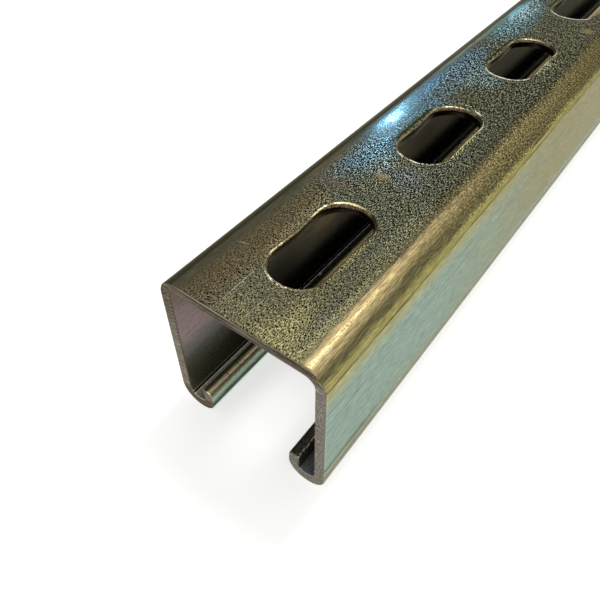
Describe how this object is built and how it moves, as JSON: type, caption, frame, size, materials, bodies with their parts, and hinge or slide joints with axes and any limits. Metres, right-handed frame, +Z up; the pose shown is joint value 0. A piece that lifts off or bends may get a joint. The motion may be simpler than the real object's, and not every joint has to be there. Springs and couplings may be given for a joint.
{
  "type": "slotted strut channel",
  "caption": "Lipped C-section steel framing channel with a row of round-ended slots in its web, yellow zinc finish, cut to a short length.",
  "frame": {"origin": "middle of the length and of the width, on the plane that the two lip bends rest on", "axes": "+Z up from the lips to the slotted web, +Y along the channel away from the near sawn end, +X across"},
  "size_m": [0.0412, 0.3048, 0.0413],
  "materials": {
    "yellow_zinc_steel": "yellow chromate over electroplated zinc, fine mill grain along the length, sawn ends bare and grey-brown"
  },
  "bodies": {
    "root": {"strut_channel": "yellow_zinc_steel"}
  },
  "joints": []
}
